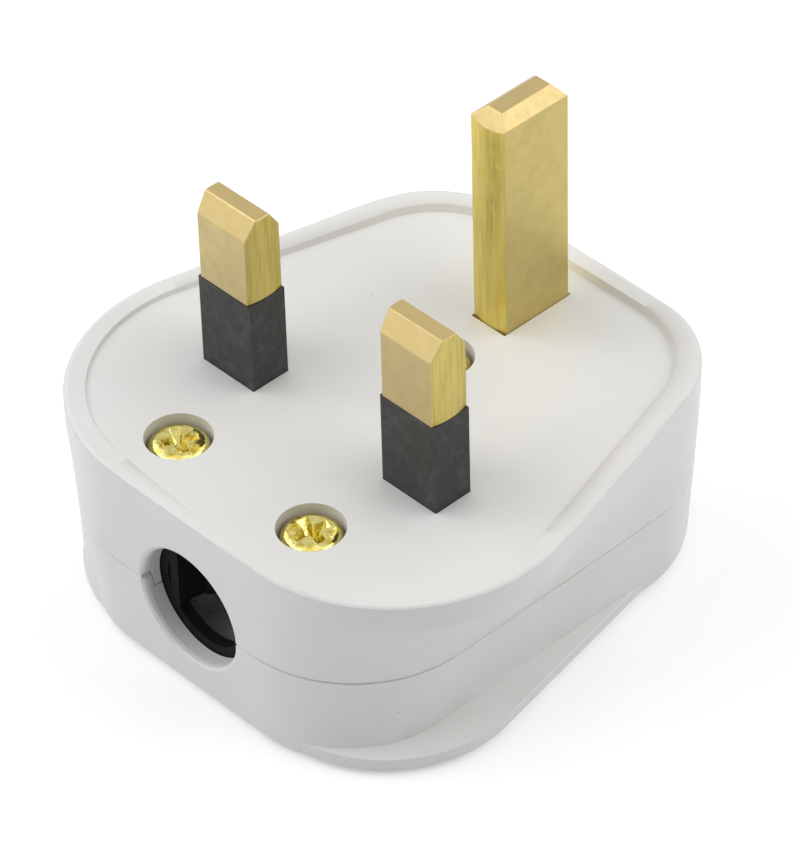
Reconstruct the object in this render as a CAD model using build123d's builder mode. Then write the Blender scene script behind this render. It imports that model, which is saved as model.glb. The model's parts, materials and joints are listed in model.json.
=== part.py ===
from build123d import *
import os
from math import cos, radians, sin, tan

os.makedirs("parts", exist_ok=True)

# The plug lies on its back with its pins up. X runs along the row of the two short pins,
# Y from the cord hole towards the earth pin, and Z up along the pins. The origin is on the
# back of the cover, in the middle of the shell.

# Plan of the shell, seen from the pin face
pin_row_setback = 17.4  # front face to the row of the short pins
pin_row_to_earth = 22.2  # short pins to the earth pin
earth_to_back = 8.4  # earth pin to the back face
flange_width = 49.9  # finger flange of the base, at its widest
flange_corner_r = 16.0
waist_width = 38.3  # grip waist, and the back of the shell
waist_corner_r = 10.7
back_corner_r = 10.8
cover_flange_width = 45.4  # finger flange of the cover, at its widest
cover_flange_corner_r = 12.6
cover_flange_setback = 0.7  # it stands back from the front face
cover_back_setback = 2.2  # and from the back face

# Depths of the shell
base_depth = 10.0  # parting line to the pin face
cover_depth = 9.4  # back of the cover to the parting line
flange_band = 2.3  # upright edge of the base's finger flange, below the pin face
flange_edge_r = 0.45
finger_slope = 35.0  # underside of the flange, from upright
cover_flange_band = 1.85
ledge_rise = 0.1  # slight fall of the cover's ledge over its run
ledge_run = 4.2
cover_draft = 1.0
cover_edge_r = 1.2
parting_chamfer = 0.2

# Rim round the pin face, which rises evenly from the front to the back
rim_width = 2.0
rim_front_rise = 0.2
rim_back_rise = 0.7
rim_inner_draft = 25.0

# Walls
face_wall = 3.0
side_wall = 1.9
cover_floor = 2.2
tongue_inset = 1.1  # lap joint: the base's tongue stands inside the cover's wall
tongue_depth = 1.4
lap_clearance = 0.12
rib_t = 1.0
fit_gap = 0.1  # easy fit of loose pieces in the mouldings

# Cord hole, half in the base and half in the cover
cord_hole_r = 5.65
cord_hole_lip_r = 0.6
lip_steps = 3
parting_notch = 0.6  # where the rounded parting edges meet the cord hole

# Cover screws, their posts, inserts and retaining washers
front_screw_x = 8.15
front_screw_setback = 7.0
centre_screw_from_row = 12.4  # short pins to the centre screw
head_r = 2.7
head_height = 1.9
head_rim = 1.1  # upright side of the head
head_shoulder = 0.4  # soft edge between the side and the slightly domed top
head_dome = 0.25
head_sink = 0.3  # top of the head below the pin face
head_hole_r = 3.0
shank_r = 1.45
shank_hole_r = 1.7
recess_length = 3.3
recess_width = 0.9
recess_depth = 1.2
recess_turns = [25, 50, 10]  # how far each screw happens to be turned
post_r = 3.45
boss_depth = 3.5
retainer_r = 2.8
retainer_t = 0.6
insert_r = 2.5  # hexagonal insert, across its corners
insert_length = 7.0
shank_past_insert = 0.3
thread_clearance = 0.05

# Short pins and their sleeves
short_pin_spacing = 22.2
short_pin_width = 6.35
short_pin_thickness = 4.0
short_pin_length = 17.7
short_tip_height = 1.8
short_tip_flat = 1.5
pin_end_bulge = 0.25  # the narrow sides of a blade are slightly rounded
sleeve_wall = 0.65
sleeve_above_face = 9.15
sleeve_in_face = 2.0
slot_clearance = 0.05

# Earth pin
earth_pin_width = 4.0
earth_pin_depth = 8.0
earth_pin_length = 22.7
earth_side_tip_height = 1.02
earth_side_tip_flat = 1.64
earth_end_tip_height = 1.35
earth_end_tip_flat = 5.75

# Fuse and its clips
fuse_middle_from_row = 9.6  # short pins to the middle of the fuse
fuse_r = 3.175
fuse_length = 25.4
fuse_cap_length = 6.2
fuse_cap_wall = 0.4
fuse_body_r = 2.95
clip_t = 0.5
clip_length = 5.0
clip_pad_width = 4.4
clip_mouth_drop = 1.5  # where the clip opens, below the middle of the fuse
clip_lip = 0.7
clip_to_wall = 1.0

# Terminals
plate_t = 0.8
pin_plate_margin = 1.0
terminal_depth = 4.5
earth_block_width = 6.0
earth_block_margin = 0.8
line_block_width = 4.4
line_block_length = 4.2
line_block_to_cap = 0.2
barrier_gap = 0.2  # each side of the rib between the line and earth blocks
neutral_arm_t = 1.6
neutral_arm_reach = 15.0
neutral_block_length = 5.6
clamp_screw_r = 1.25
clamp_screw_bite = 3.0
clamp_head_r = 2.2
clamp_head_height = 1.6
clamp_slot_width = 0.6
clamp_slot_depth = 0.8
clamp_washer_size = 4.4
clamp_washer_t = 0.6

# Cord grip
grip_t = 1.1
grip_width = 13.0
grip_hole_r = 4.7
jaw_t = 1.0
jaw_height = 6.0
jaw_reach = 8.5
jaw_root_x = 4.4
jaw_tip_x = 2.4
jaw_tooth = 0.5
jaw_teeth = 3

# Places that follow from the sizes above
overall_length = pin_row_setback + pin_row_to_earth + earth_to_back
front_y = -overall_length / 2
back_y = overall_length / 2
pin_row_y = front_y + pin_row_setback
earth_y = pin_row_y + pin_row_to_earth
short_pin_x = short_pin_spacing / 2
parting_z = cover_depth
pin_face_z = cover_depth + base_depth
roof_z = pin_face_z - face_wall
flange_bottom_z = pin_face_z - flange_band
slope_tan = tan(radians(finger_slope))
slope_wall = side_wall / cos(radians(finger_slope))
rim_slope = rim_back_rise - rim_front_rise
rim_plane = Plane(
    origin=(0, 0, pin_face_z + (rim_front_rise + rim_back_rise) / 2),
    x_dir=(1, 0, 0),
    z_dir=(0, -rim_slope, overall_length),
)
front_screw_y = front_y + front_screw_setback
centre_screw_y = pin_row_y + centre_screw_from_row
screw_places = [
    (-front_screw_x, front_screw_y),
    (front_screw_x, front_screw_y),
    (0, centre_screw_y),
]
head_seat_z = pin_face_z - head_sink - head_height
boss_bottom_z = roof_z - boss_depth
post_top_z = boss_bottom_z - retainer_t
insert_bottom_z = post_top_z - insert_length
screw_tip_z = insert_bottom_z - shank_past_insert
plate_bottom_z = roof_z - plate_t
clip_r = fuse_r + thread_clearance + clip_t
fuse_x = -(waist_width / 2 - side_wall - clip_to_wall - clip_r)
fuse_z = plate_bottom_z - clip_r
fuse_y = pin_row_y + fuse_middle_from_row
front_cap_y = fuse_y - (fuse_length - fuse_cap_length) / 2
back_cap_y = fuse_y + (fuse_length - fuse_cap_length) / 2
fuse_bottom_z = fuse_z - fuse_r
terminal_bottom_z = roof_z - terminal_depth
barrier_x = -(earth_block_width / 2 + barrier_gap + rib_t / 2)
line_block_x = barrier_x - rib_t / 2 - barrier_gap - line_block_width / 2
line_block_y = fuse_y + fuse_length / 2 + line_block_to_cap + line_block_length / 2
shoulder_width = short_pin_width + pin_plate_margin
neutral_block_y = pin_row_y + neutral_arm_reach - neutral_block_length / 2
grip_front_y = front_y + side_wall + fit_gap


def shell_outline(width, corner_r, inset=0.0, setback=0.0, back_setback=0.0):
    """Two front and two back corner circles and the hull round them, drawn in by an inset."""
    front_x = width / 2 - corner_r
    back_x = waist_width / 2 - back_corner_r
    with BuildSketch(mode=Mode.PRIVATE) as outline:
        with Locations(
            (front_x, front_y + setback + corner_r),
            (-front_x, front_y + setback + corner_r),
        ):
            Circle(corner_r - inset)
        with Locations((back_x, back_y - back_corner_r), (-back_x, back_y - back_corner_r)):
            Circle(back_corner_r - back_setback - inset)
        make_hull()
    return outline.sketch


def flange_outline(inset=0.0):
    return shell_outline(flange_width, flange_corner_r, inset)


def waist_outline(inset=0.0):
    return shell_outline(waist_width, waist_corner_r, inset)


def cover_flange_outline(inset=0.0):
    return shell_outline(
        cover_flange_width,
        cover_flange_corner_r,
        inset,
        cover_flange_setback,
        cover_back_setback,
    )


def blade_outline(length, width, bulge):
    """Flat blade section, long along the first axis, with slightly rounded narrow sides."""
    straight = length / 2 - bulge
    half = width / 2
    with BuildSketch(mode=Mode.PRIVATE) as outline:
        with BuildLine():
            Line((-straight, -half), (straight, -half))
            ThreePointArc((straight, -half), (length / 2, 0), (straight, half))
            Line((straight, half), (-straight, half))
            ThreePointArc((-straight, half), (-length / 2, 0), (-straight, -half))
        make_face()
    return outline.sketch


def tip_profile(width, flat, bottom_z, top_z, height):
    """Upright outline of a blade with both edges of its tip bevelled."""
    return Polygon(
        (-width / 2, bottom_z),
        (width / 2, bottom_z),
        (width / 2, top_z - height),
        (flat / 2, top_z),
        (-flat / 2, top_z),
        (-width / 2, top_z - height),
        align=None,
    )


def cord_hole_profile():
    """Half section of the cord hole through the front wall, with a softened lip."""
    inner_y = front_y + side_wall + fit_gap
    lip_points = []
    for i in range(lip_steps + 1):
        turn = radians(90 * i / lip_steps)
        lip_y = front_y + cord_hole_lip_r * (1 - cos(turn))
        lip_z = parting_z + cord_hole_r + cord_hole_lip_r * (1 - sin(turn))
        lip_points.append((lip_y, lip_z))
    with BuildSketch(Plane.YZ, mode=Mode.PRIVATE) as profile:
        with BuildLine():
            Polyline(
                *lip_points,
                (inner_y, parting_z + cord_hole_r),
                (inner_y, parting_z),
                (front_y, parting_z),
                close=True,
            )
        make_face()
    return profile.sketch


def notch_profile():
    """Small diamonds on the parting line, one at each side of the cord hole."""
    with BuildSketch(Plane.XZ.offset(-front_y), mode=Mode.PRIVATE) as profile:
        with Locations((-cord_hole_r, parting_z), (cord_hole_r, parting_z)):
            Rectangle(parting_notch, parting_notch, rotation=45)
    return profile.sketch


cord_axis = Axis((0, 0, parting_z), (0, 1, 0))

# Waist of the base, and the sloping underside of its finger flange
with BuildPart() as base_waist:
    with BuildSketch(Plane.XY.offset(flange_bottom_z)):
        add(flange_outline())
    with BuildSketch(Plane.XY.offset(parting_z)):
        add(flange_outline((flange_bottom_z - parting_z) * slope_tan))
    loft(ruled=True)
    with BuildSketch(Plane.XY.offset(parting_z)):
        add(waist_outline(parting_chamfer))
    with BuildSketch(Plane.XY.offset(parting_z + parting_chamfer)):
        add(waist_outline())
    loft(ruled=True)
    with BuildSketch(Plane.XY.offset(parting_z + parting_chamfer)):
        add(waist_outline())
    extrude(amount=flange_bottom_z - parting_z - parting_chamfer)

# Base: the moulding that carries the pins
with BuildPart() as base:
    # Upright edge of the finger flange, with the rim's plane as its top
    rim_root = rim_plane.offset(-2 * flange_edge_r)
    with BuildSketch(Plane.XY.offset(flange_bottom_z)):
        add(flange_outline())
    with BuildSketch(rim_root):
        add(flange_outline())
    loft(ruled=True)
    with BuildSketch(rim_root):
        add(flange_outline())
    extrude(amount=2 * flange_edge_r)
    fillet(base.faces().sort_by(Axis.Z)[-1].edges(), flange_edge_r)

    # Pin face inside the rim, whose inner wall leans outwards
    with BuildSketch(Plane.XY.offset(pin_face_z)):
        add(flange_outline(rim_width))
    with BuildSketch(Plane.XY.offset(pin_face_z + 2 * rim_back_rise)):
        add(flange_outline(rim_width - 2 * rim_back_rise * tan(radians(rim_inner_draft))))
    loft(ruled=True, mode=Mode.SUBTRACT)

    add(base_waist.part)

    # Wiring space, which widens under the finger flange
    with BuildSketch(Plane.XY.offset(parting_z)):
        add(waist_outline(side_wall))
    extrude(amount=roof_z - parting_z, mode=Mode.SUBTRACT)
    with BuildSketch(Plane.XY.offset(parting_z)):
        add(flange_outline((flange_bottom_z - parting_z) * slope_tan + slope_wall))
    with BuildSketch(Plane.XY.offset(roof_z)):
        add(flange_outline((flange_bottom_z - roof_z) * slope_tan + slope_wall))
    loft(ruled=True, mode=Mode.SUBTRACT)

    # Tongue of the lap joint
    with BuildSketch(Plane.XY.offset(parting_z)):
        add(waist_outline(tongue_inset))
        add(waist_outline(side_wall), mode=Mode.SUBTRACT)
    extrude(amount=-tongue_depth)

    # Screw bosses, and barrier ribs between the live parts and the wires
    with BuildSketch(Plane.XY.offset(roof_z)):
        with Locations(*screw_places):
            Circle(post_r)
    extrude(amount=-boss_depth)
    neutral_rib_x = short_pin_x - shoulder_width / 2 - fit_gap - rib_t / 2
    with BuildSketch(Plane.XY.offset(roof_z)):
        with Locations((barrier_x, line_block_y)):
            Rectangle(rib_t, 2 * line_block_length)
        with Locations((neutral_rib_x, pin_row_y)):
            Rectangle(rib_t, pin_row_to_earth / 2)
        with Locations((fuse_x + clip_r + rib_t, pin_row_y + pin_row_to_earth / 3)):
            Rectangle(rib_t, pin_row_to_earth / 3)
    extrude(amount=-terminal_depth)

    # Slots for the pins
    with BuildSketch(Plane.XY.offset(roof_z)):
        with Locations((-short_pin_x, pin_row_y), (short_pin_x, pin_row_y)):
            Rectangle(short_pin_width + 2 * slot_clearance, short_pin_thickness + 2 * slot_clearance)
        with Locations((0, earth_y)):
            Rectangle(earth_pin_width + 2 * slot_clearance, earth_pin_depth + 2 * slot_clearance)
    extrude(amount=face_wall, mode=Mode.SUBTRACT)

    # Screw holes with sunk seats
    with BuildSketch(Plane.XY.offset(head_seat_z)):
        with Locations(*screw_places):
            Circle(head_hole_r)
    extrude(amount=head_height + head_sink, mode=Mode.SUBTRACT)
    with BuildSketch(Plane.XY.offset(boss_bottom_z)):
        with Locations(*screw_places):
            Circle(shank_hole_r)
    extrude(amount=head_seat_z - boss_bottom_z, mode=Mode.SUBTRACT)
    revolve(cord_hole_profile(), axis=cord_axis, mode=Mode.SUBTRACT)
    extrude(notch_profile(), amount=-tongue_inset, mode=Mode.SUBTRACT)

base.part.label = "base"
export_step(base.part, "parts/base.step")

# Waist of the cover, drawn in towards the back
with BuildPart() as cover_waist:
    foot_inset = (parting_z - cover_flange_band) * tan(radians(cover_draft))
    with BuildSketch():
        add(waist_outline(foot_inset))
    extrude(amount=cover_flange_band)
    fillet(cover_waist.faces().sort_by(Axis.Z)[0].edges(), cover_edge_r)
    with BuildSketch(Plane.XY.offset(cover_flange_band)):
        add(waist_outline(foot_inset))
    with BuildSketch(Plane.XY.offset(parting_z - parting_chamfer)):
        add(waist_outline())
    loft(ruled=True)
    with BuildSketch(Plane.XY.offset(parting_z - parting_chamfer)):
        add(waist_outline())
    with BuildSketch(Plane.XY.offset(parting_z)):
        add(waist_outline(parting_chamfer))
    loft(ruled=True)

# Cover: the back moulding
with BuildPart() as cover:
    # Finger flange and its ledge, round the waist
    with BuildSketch():
        add(cover_flange_outline())
    extrude(amount=cover_flange_band)
    fillet(cover.faces().sort_by(Axis.Z)[0].edges(), cover_edge_r)
    with BuildSketch(Plane.XY.offset(cover_flange_band)):
        add(cover_flange_outline())
    with BuildSketch(Plane.XY.offset(cover_flange_band + ledge_rise)):
        add(cover_flange_outline(ledge_run))
    loft(ruled=True)
    add(cover_waist.part)

    # Wiring space and the rebate for the base's tongue
    with BuildSketch(Plane.XY.offset(cover_floor)):
        add(waist_outline(side_wall))
    extrude(amount=parting_z - cover_floor, mode=Mode.SUBTRACT)
    with BuildSketch(Plane.XY.offset(parting_z)):
        add(waist_outline(tongue_inset - lap_clearance))
    extrude(amount=-(tongue_depth + lap_clearance), mode=Mode.SUBTRACT)

    # Screw posts
    with BuildSketch(Plane.XY.offset(cover_floor)):
        with Locations(*screw_places):
            Circle(post_r)
    extrude(amount=post_top_z - cover_floor)
    with BuildSketch(Plane.XY.offset(post_top_z)):
        with Locations(*screw_places):
            RegularPolygon(insert_r + thread_clearance, 6)
    extrude(amount=-insert_length, mode=Mode.SUBTRACT)
    with BuildSketch(Plane.XY.offset(insert_bottom_z)):
        with Locations(*screw_places):
            Circle(shank_hole_r)
    extrude(amount=-2 * shank_past_insert, mode=Mode.SUBTRACT)

    # Saddles that hold the fuse up in its clips, and a stop under the neutral pin
    with BuildSketch(Plane.XY.offset(cover_floor)):
        with Locations((fuse_x, front_cap_y), (fuse_x, back_cap_y)):
            Rectangle(fuse_r, rib_t)
    extrude(amount=fuse_bottom_z - fit_gap - cover_floor)
    with BuildSketch(Plane.XY.offset(cover_floor)):
        with Locations((short_pin_x, pin_row_y)):
            Rectangle(short_pin_thickness, rib_t)
            Rectangle(rib_t, short_pin_thickness)
    extrude(amount=roof_z - neutral_arm_t - cover_floor)
    revolve(cord_hole_profile(), axis=cord_axis, mode=Mode.SUBTRACT)
    extrude(notch_profile(), amount=-tongue_inset, mode=Mode.SUBTRACT)

cover.part.label = "cover"
export_step(cover.part, "parts/cover.step")

# Earth pin: one solid piece with its terminal block
with BuildPart() as earth_pin:
    with BuildSketch(Plane.XY.offset(roof_z)):
        with Locations((0, earth_y)):
            add(blade_outline(earth_pin_depth, earth_pin_width, pin_end_bulge), rotation=90)
    extrude(amount=face_wall + earth_pin_length)
    with BuildSketch(Plane.XZ.offset(-earth_y)):
        tip_profile(
            earth_pin_width,
            earth_side_tip_flat,
            roof_z,
            pin_face_z + earth_pin_length,
            earth_side_tip_height,
        )
    extrude(amount=earth_pin_depth, both=True, mode=Mode.INTERSECT)
    with BuildSketch(Plane.YZ):
        with Locations((earth_y, 0)):
            tip_profile(
                earth_pin_depth,
                earth_end_tip_flat,
                roof_z,
                pin_face_z + earth_pin_length,
                earth_end_tip_height,
            )
    extrude(amount=earth_pin_width, both=True, mode=Mode.INTERSECT)
    with BuildSketch(Plane.XY.offset(roof_z)):
        with Locations((0, earth_y)):
            Rectangle(earth_block_width, earth_pin_depth + 2 * earth_block_margin)
    extrude(amount=-terminal_depth)
    with BuildSketch(Plane.XY.offset(terminal_bottom_z)):
        with Locations((0, earth_y)):
            Circle(clamp_screw_r + thread_clearance)
    extrude(amount=clamp_screw_bite + fit_gap, mode=Mode.SUBTRACT)

earth_pin.part.label = "earth_pin"
export_step(earth_pin.part, "parts/earth_pin.step")


def short_blade(x):
    """Short blade, necked where the sleeve is moulded round it."""
    tip_z = pin_face_z + short_pin_length
    neck_bottom_z = pin_face_z - sleeve_in_face
    neck_height = sleeve_in_face + sleeve_above_face
    with BuildPart() as blade:
        with BuildSketch(Plane.XY.offset(roof_z)):
            with Locations((x, pin_row_y)):
                add(blade_outline(short_pin_width, short_pin_thickness, pin_end_bulge))
        extrude(amount=tip_z - roof_z)
        with BuildSketch(Plane.YZ):
            with Locations((pin_row_y, 0)):
                tip_profile(short_pin_thickness, short_tip_flat, roof_z, tip_z, short_tip_height)
        extrude(amount=2 * short_pin_spacing, both=True, mode=Mode.INTERSECT)
        with BuildSketch(Plane.XY.offset(neck_bottom_z)):
            with Locations((x, pin_row_y)):
                Rectangle(2 * short_pin_width, 2 * short_pin_thickness)
                Rectangle(
                    short_pin_width - 2 * sleeve_wall,
                    short_pin_thickness - 2 * sleeve_wall,
                    mode=Mode.SUBTRACT,
                )
        extrude(amount=neck_height, mode=Mode.SUBTRACT)
    return blade.part


# Neutral pin: the blade, an arm along the base's roof and the terminal block at its end
with BuildPart() as neutral_pin:
    add(short_blade(short_pin_x))
    arm_front_y = pin_row_y - short_pin_thickness / 2 - pin_plate_margin
    arm_back_y = pin_row_y + neutral_arm_reach
    with BuildSketch(Plane.XY.offset(roof_z)):
        with Locations((short_pin_x, (arm_front_y + arm_back_y) / 2)):
            Rectangle(shoulder_width, arm_back_y - arm_front_y)
    extrude(amount=-neutral_arm_t)
    with BuildSketch(Plane.XY.offset(roof_z)):
        with Locations((short_pin_x, neutral_block_y)):
            Rectangle(shoulder_width, neutral_block_length)
    extrude(amount=-terminal_depth)
    with BuildSketch(Plane.XY.offset(terminal_bottom_z)):
        with Locations((short_pin_x, neutral_block_y)):
            Circle(clamp_screw_r + thread_clearance)
    extrude(amount=clamp_screw_bite + fit_gap, mode=Mode.SUBTRACT)

neutral_pin.part.label = "neutral_pin"
export_step(neutral_pin.part, "parts/neutral_pin.step")

# Line pin: the blade on a plate that the front fuse clip is fixed to
with BuildPart() as line_pin:
    add(short_blade(-short_pin_x))
    plate_left_x = fuse_x - clip_pad_width / 2
    plate_right_x = -short_pin_x + short_pin_width / 2 + pin_plate_margin
    plate_front_y = min(front_cap_y - clip_length / 2, pin_row_y - short_pin_thickness / 2) - fit_gap
    plate_back_y = max(front_cap_y + clip_length / 2, pin_row_y + short_pin_thickness / 2) + fit_gap
    with BuildSketch(Plane.XY.offset(roof_z)):
        with Locations(((plate_left_x + plate_right_x) / 2, (plate_front_y + plate_back_y) / 2)):
            Rectangle(plate_right_x - plate_left_x, plate_back_y - plate_front_y)
    extrude(amount=-plate_t)

line_pin.part.label = "line_pin"
export_step(line_pin.part, "parts/line_pin.step")

# Insulating sleeves, flush with the brass above them
for name, x in [("line_sleeve", -short_pin_x), ("neutral_sleeve", short_pin_x)]:
    with BuildPart() as sleeve:
        with BuildSketch(Plane.XY.offset(pin_face_z - sleeve_in_face)):
            with Locations((x, pin_row_y)):
                Rectangle(short_pin_width, short_pin_thickness)
                Rectangle(
                    short_pin_width - 2 * sleeve_wall,
                    short_pin_thickness - 2 * sleeve_wall,
                    mode=Mode.SUBTRACT,
                )
        extrude(amount=sleeve_in_face + sleeve_above_face)
    sleeve.part.label = name
    export_step(sleeve.part, f"parts/{name}.step")

# Line terminal: an angled plate along the roof from the back fuse clip to its terminal block
with BuildPart() as line_terminal:
    plate_left_x = fuse_x - clip_pad_width / 2
    plate_right_x = line_block_x + line_block_width / 2
    arm_front_y = back_cap_y - clip_length / 2
    with BuildSketch(Plane.XY.offset(roof_z)):
        with Locations(((plate_left_x + plate_right_x) / 2, back_cap_y)):
            Rectangle(plate_right_x - plate_left_x, clip_length)
        with Locations((line_block_x, (arm_front_y + line_block_y) / 2)):
            Rectangle(line_block_width, line_block_y - arm_front_y)
    extrude(amount=-plate_t)
    with BuildSketch(Plane.XY.offset(roof_z)):
        with Locations((line_block_x, line_block_y)):
            Rectangle(line_block_width, line_block_length)
    extrude(amount=-terminal_depth)
    with BuildSketch(Plane.XY.offset(terminal_bottom_z)):
        with Locations((line_block_x, line_block_y)):
            Circle(clamp_screw_r + thread_clearance)
    extrude(amount=clamp_screw_bite + fit_gap, mode=Mode.SUBTRACT)

line_terminal.part.label = "line_terminal"
export_step(line_terminal.part, "parts/line_terminal.step")

# Fuse clips: spring rings, open towards the cover, with turned-out lips
for name, y in [("line_pin_fuse_clip", front_cap_y), ("line_terminal_fuse_clip", back_cap_y)]:
    mouth_z = fuse_z - clip_mouth_drop
    mouth_x = (clip_r**2 - clip_mouth_drop**2) ** 0.5
    with BuildPart() as clip:
        with BuildSketch(Plane.XZ.offset(-y)):
            with Locations((fuse_x, fuse_z)):
                Circle(clip_r)
                Circle(clip_r - clip_t, mode=Mode.SUBTRACT)
            with Locations((fuse_x, mouth_z)):
                Rectangle(2 * clip_r, clip_r, align=(Align.CENTER, Align.MAX), mode=Mode.SUBTRACT)
            with Locations((fuse_x, plate_bottom_z)):
                Rectangle(clip_pad_width, clip_t, align=(Align.CENTER, Align.MAX))
            with Locations((fuse_x - mouth_x, mouth_z), (fuse_x + mouth_x - clip_t, mouth_z)):
                Rectangle(clip_t, clip_lip, align=(Align.MIN, Align.MAX))
        extrude(amount=clip_length / 2, both=True)
    clip.part.label = name
    export_step(clip.part, f"parts/{name}.step")

# Cartridge fuse: a ceramic body with its ends turned down to take the metal caps
cap_inner_r = fuse_r - fuse_cap_wall
with BuildPart() as fuse_body:
    with BuildSketch(Plane.XZ.offset(-fuse_y)):
        with Locations((fuse_x, fuse_z)):
            Circle(fuse_body_r)
    extrude(amount=fuse_length / 2 - fuse_cap_length, both=True)
    with BuildSketch(Plane.XZ.offset(-fuse_y)):
        with Locations((fuse_x, fuse_z)):
            Circle(cap_inner_r - thread_clearance)
    extrude(amount=fuse_length / 2 - fuse_cap_wall, both=True)

fuse_body.part.label = "fuse_body"
export_step(fuse_body.part, "parts/fuse_body.step")

for name, y, outward in [("fuse_front_cap", front_cap_y, -1), ("fuse_back_cap", back_cap_y, 1)]:
    with BuildPart() as cap:
        with BuildSketch(Plane.XZ.offset(-y)):
            with Locations((fuse_x, fuse_z)):
                Circle(fuse_r)
        extrude(amount=fuse_cap_length / 2, both=True)
        end_face = cap.faces().sort_by(Axis.Y)[-1 if outward > 0 else 0]
        chamfer(end_face.edges(), fuse_cap_wall)
        with BuildSketch(Plane.XZ.offset(-(y - outward * fuse_cap_wall))):
            with Locations((fuse_x, fuse_z)):
                Circle(cap_inner_r)
        extrude(amount=fuse_cap_length / 2, both=True, mode=Mode.SUBTRACT)
    cap.part.label = name
    export_step(cap.part, f"parts/{name}.step")

# Terminal screws and the square washers that clamp the wires
terminals = [
    ("earth", 0, earth_y),
    ("line", line_block_x, line_block_y),
    ("neutral", short_pin_x, neutral_block_y),
]
washer_bottom_z = terminal_bottom_z - clamp_washer_t
for name, x, y in terminals:
    with BuildPart() as clamp_washer:
        with BuildSketch(Plane.XY.offset(washer_bottom_z)):
            with Locations((x, y)):
                Rectangle(clamp_washer_size, clamp_washer_size)
                Circle(clamp_screw_r + fit_gap, mode=Mode.SUBTRACT)
        extrude(amount=clamp_washer_t)
    clamp_washer.part.label = f"{name}_clamp_washer"
    export_step(clamp_washer.part, f"parts/{name}_clamp_washer.step")

    with BuildPart() as terminal_screw:
        with BuildSketch(Plane.XY.offset(washer_bottom_z)):
            with Locations((x, y)):
                Circle(clamp_head_r)
        extrude(amount=-clamp_head_height)
        chamfer(terminal_screw.faces().sort_by(Axis.Z)[0].edges(), clamp_head_height / 3)
        with BuildSketch(Plane.XY.offset(washer_bottom_z - clamp_head_height)):
            with Locations((x, y)):
                Rectangle(2 * clamp_head_r, clamp_slot_width)
        extrude(amount=clamp_slot_depth, mode=Mode.SUBTRACT)
        with BuildSketch(Plane.XY.offset(washer_bottom_z)):
            with Locations((x, y)):
                Circle(clamp_screw_r)
        extrude(amount=clamp_washer_t + clamp_screw_bite)
    terminal_screw.part.label = f"{name}_terminal_screw"
    export_step(terminal_screw.part, f"parts/{name}_terminal_screw.step")

# Cord grip: a frame behind the cord hole with two toothed jaws that lean inwards
grip_back_y = grip_front_y + grip_t
jaw_tip_y = grip_back_y + jaw_reach
with BuildPart() as cord_grip:
    with BuildSketch(Plane.XZ.offset(-grip_front_y)):
        with Locations((0, (cover_floor + roof_z - fit_gap) / 2)):
            Rectangle(grip_width, roof_z - fit_gap - cover_floor)
        with Locations((0, parting_z)):
            Circle(grip_hole_r, mode=Mode.SUBTRACT)
    extrude(amount=-grip_t)
    with BuildSketch(Plane.XY.offset(parting_z - jaw_height / 2)):
        with BuildLine():
            Polyline(
                (jaw_root_x, grip_front_y),
                (jaw_root_x, grip_back_y),
                (jaw_tip_x, jaw_tip_y),
                (jaw_tip_x - jaw_t, jaw_tip_y),
                (jaw_root_x - jaw_t, grip_back_y),
                (jaw_root_x - jaw_t, grip_front_y),
                close=True,
            )
        make_face()
        for i in range(jaw_teeth):
            share = (i + 1) / (jaw_teeth + 1)
            tooth_x = jaw_root_x - jaw_t + (jaw_tip_x - jaw_root_x) * share
            tooth_y = grip_back_y + jaw_reach * share
            with Locations((tooth_x, tooth_y)):
                Rectangle(2 * jaw_tooth, 2 * jaw_tooth, rotation=45)
        mirror(about=Plane.YZ)
    extrude(amount=jaw_height)

cord_grip.part.label = "cord_grip"
export_step(cord_grip.part, "parts/cord_grip.step")

# Cover screws, their retaining washers and the threaded inserts in the posts
screw_names = ["front_left", "front_right", "centre"]
for name, (x, y), turn in zip(screw_names, screw_places, recess_turns):
    screw_plane = Plane(origin=(x, y, head_seat_z), x_dir=(1, 0, 0), z_dir=(0, -1, 0))
    with BuildPart() as screw:
        with BuildSketch(screw_plane):
            dome_edge = (head_r - head_shoulder, head_height - head_dome)
            with BuildLine():
                Polyline((0, head_height), (0, 0), (head_r, 0), (head_r, head_rim), dome_edge)
                TangentArc((0, head_height), dome_edge, tangent=(1, 0))
            make_face()
        revolve(axis=Axis((x, y, head_seat_z), (0, 0, 1)))
        with BuildSketch(Plane.XY.offset(head_seat_z + head_height)):
            with Locations((x, y)):
                Rectangle(recess_length, recess_width, rotation=turn)
                Rectangle(recess_width, recess_length, rotation=turn)
        extrude(amount=-recess_depth, mode=Mode.SUBTRACT)
        with BuildSketch(Plane.XY.offset(head_seat_z)):
            with Locations((x, y)):
                Circle(shank_r)
        extrude(amount=-(head_seat_z - screw_tip_z))
    screw.part.label = f"{name}_screw"
    export_step(screw.part, f"parts/{name}_screw.step")

    with BuildPart() as retainer:
        with BuildSketch(Plane.XY.offset(post_top_z)):
            with Locations((x, y)):
                Circle(retainer_r)
                Circle(shank_r + thread_clearance, mode=Mode.SUBTRACT)
        extrude(amount=retainer_t)
    retainer.part.label = f"{name}_screw_retainer"
    export_step(retainer.part, f"parts/{name}_screw_retainer.step")

    with BuildPart() as insert:
        with BuildSketch(Plane.XY.offset(insert_bottom_z)):
            with Locations((x, y)):
                RegularPolygon(insert_r, 6)
                Circle(shank_r + thread_clearance, mode=Mode.SUBTRACT)
        extrude(amount=insert_length)
    insert.part.label = f"{name}_insert"
    export_step(insert.part, f"parts/{name}_insert.step")
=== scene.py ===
import json
import math

import bmesh
import bpy
import numpy as np
from mathutils import Matrix, Vector


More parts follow.
